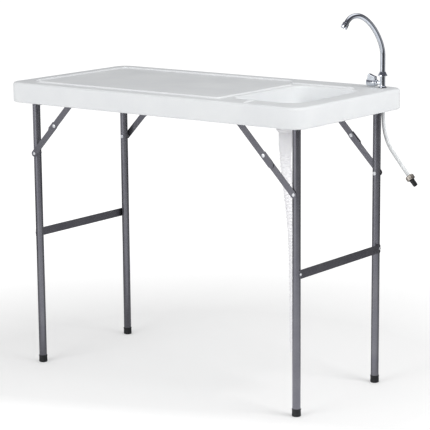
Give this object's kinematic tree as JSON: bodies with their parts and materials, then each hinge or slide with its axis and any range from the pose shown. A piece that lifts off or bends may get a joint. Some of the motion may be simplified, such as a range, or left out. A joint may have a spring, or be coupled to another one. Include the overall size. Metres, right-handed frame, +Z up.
{
  "type": "fish cleaning table",
  "caption": "Folding white cleaning table with a moulded sink, gooseneck tap and supply hose, a drain with a ribbed hose, and steel leg frames that fold flat under the top on braces.",
  "frame": {"origin": "on the floor, under the middle of the table top", "axes": "+Z up, +X along the top towards the sink end, +Y towards the back, where the tap stands"},
  "size_m": [1.2149, 0.58, 1.1738],
  "materials": {
    "moulded_white": "smooth moulded polyethylene with a soft sheen",
    "coated_steel": "dark grey powder coat, half gloss",
    "black_rubber": "matt",
    "black_plastic": "moulded, slightly glossy",
    "zinc_rivet": "bright zinc plate",
    "chrome_plate": "polished",
    "brass_plate": "pale, lightly polished",
    "hose_grey": "pale grey flexible plastic",
    "hose_white": "white flexible plastic"
  },
  "bodies": {
    "tabletop": {"tabletop": "moulded_white", "right_front_saddle": "coated_steel", "right_front_brace_bracket": "coated_steel", "right_front_bracket_rivet": "zinc_rivet", "right_rear_saddle": "coated_steel", "right_rear_brace_bracket": "coated_steel", "right_rear_bracket_rivet": "zinc_rivet", "left_front_saddle": "coated_steel", "left_front_brace_bracket": "coated_steel", "left_front_bracket_rivet": "zinc_rivet", "left_rear_saddle": "coated_steel", "left_rear_brace_bracket": "coated_steel", "left_rear_bracket_rivet": "zinc_rivet", "drain_strainer": "chrome_plate", "drain_lock_nut": "hose_grey", "drain_sleeve": "hose_grey", "drain_hose": "hose_grey", "tap_gasket": "black_rubber", "tap_body": "chrome_plate", "tap_shank_nut": "brass_plate", "spout_collar": "chrome_plate", "supply_hose": "hose_white", "hose_inlet": "black_plastic"},
    "right_frame": {"right_pivot_tube": "coated_steel", "right_crossbar": "coated_steel", "right_front_leg": "coated_steel", "right_front_foot": "black_rubber", "right_front_leg_rivet": "zinc_rivet", "right_rear_leg": "coated_steel", "right_rear_foot": "black_rubber", "right_rear_leg_rivet": "zinc_rivet"},
    "left_frame": {"left_pivot_tube": "coated_steel", "left_crossbar": "coated_steel", "left_front_leg": "coated_steel", "left_front_foot": "black_rubber", "left_front_leg_rivet": "zinc_rivet", "left_rear_leg": "coated_steel", "left_rear_foot": "black_rubber", "left_rear_leg_rivet": "zinc_rivet"},
    "right_lower_links": {"right_front_lower_link": "coated_steel", "right_front_knee_tail": "zinc_rivet", "right_rear_lower_link": "coated_steel", "right_rear_knee_tail": "zinc_rivet"},
    "right_upper_links": {"right_front_upper_link": "coated_steel", "right_front_knee_rivet": "zinc_rivet", "right_rear_upper_link": "coated_steel", "right_rear_knee_rivet": "zinc_rivet"},
    "left_lower_links": {"left_front_lower_link": "coated_steel", "left_front_knee_tail": "zinc_rivet", "left_rear_lower_link": "coated_steel", "left_rear_knee_tail": "zinc_rivet"},
    "left_upper_links": {"left_front_upper_link": "coated_steel", "left_front_knee_rivet": "zinc_rivet", "left_rear_upper_link": "coated_steel", "left_rear_knee_rivet": "zinc_rivet"},
    "tap_handle": {"tap_handle": "chrome_plate"},
    "spout": {"spout": "chrome_plate", "aerator": "chrome_plate"},
    "swivel_nut": {"hose_swivel_nut": "brass_plate"}
  },
  "joints": [
    {"name": "right_leg_fold", "type": "hinge", "parent": "tabletop", "child": "right_frame", "pos_m": [0.512, 0, 0.895], "axis": [0, 1, 0], "range_deg": [0, 90], "deforming": ["drain_hose"]},
    {"name": "right_lower_link_turn", "type": "hinge", "parent": "right_frame", "child": "right_lower_links", "pos_m": [0.512, 0, 0.676], "axis": [0, 1, 0], "range_deg": [-136.8, 1]},
    {"name": "right_upper_link_turn", "type": "hinge", "parent": "tabletop", "child": "right_upper_links", "pos_m": [0.2987, 0, 0.895], "axis": [0, 1, 0], "range_deg": [-1, 135.2]},
    {"name": "left_leg_fold", "type": "hinge", "parent": "tabletop", "child": "left_frame", "pos_m": [-0.512, 0, 0.865], "axis": [0, -1, 0], "range_deg": [0, 90]},
    {"name": "left_lower_link_turn", "type": "hinge", "parent": "left_frame", "child": "left_lower_links", "pos_m": [-0.512, 0, 0.704], "axis": [0, -1, 0], "range_deg": [-132.9, 1]},
    {"name": "left_upper_link_turn", "type": "hinge", "parent": "tabletop", "child": "left_upper_links", "pos_m": [-0.3352, 0, 0.89], "axis": [0, -1, 0], "range_deg": [-1, 127.8]},
    {"name": "spout_turn", "type": "hinge", "parent": "tabletop", "child": "spout", "pos_m": [0.515, 0.244, 0.98], "axis": [0, 0, 1], "continuous": true},
    {"name": "handle_turn", "type": "hinge", "parent": "tabletop", "child": "tap_handle", "pos_m": [0.515, 0.244, 0.9545], "axis": [1, 0, 0], "range_deg": [0, 90]},
    {"name": "nut_turn", "type": "hinge", "parent": "tabletop", "child": "swivel_nut", "pos_m": [0.61881, 0.244, 0.66769], "axis": [0.6673, 0, -0.7448], "continuous": true}
  ],
  "couplings": [
    {"joint": "right_lower_link_turn", "follows": "right_leg_fold", "ratio": -1.5084},
    {"joint": "right_upper_link_turn", "follows": "right_leg_fold", "ratio": 1.4916},
    {"joint": "left_lower_link_turn", "follows": "left_leg_fold", "ratio": -1.4658},
    {"joint": "left_upper_link_turn", "follows": "left_leg_fold", "ratio": 1.4084}
  ]
}
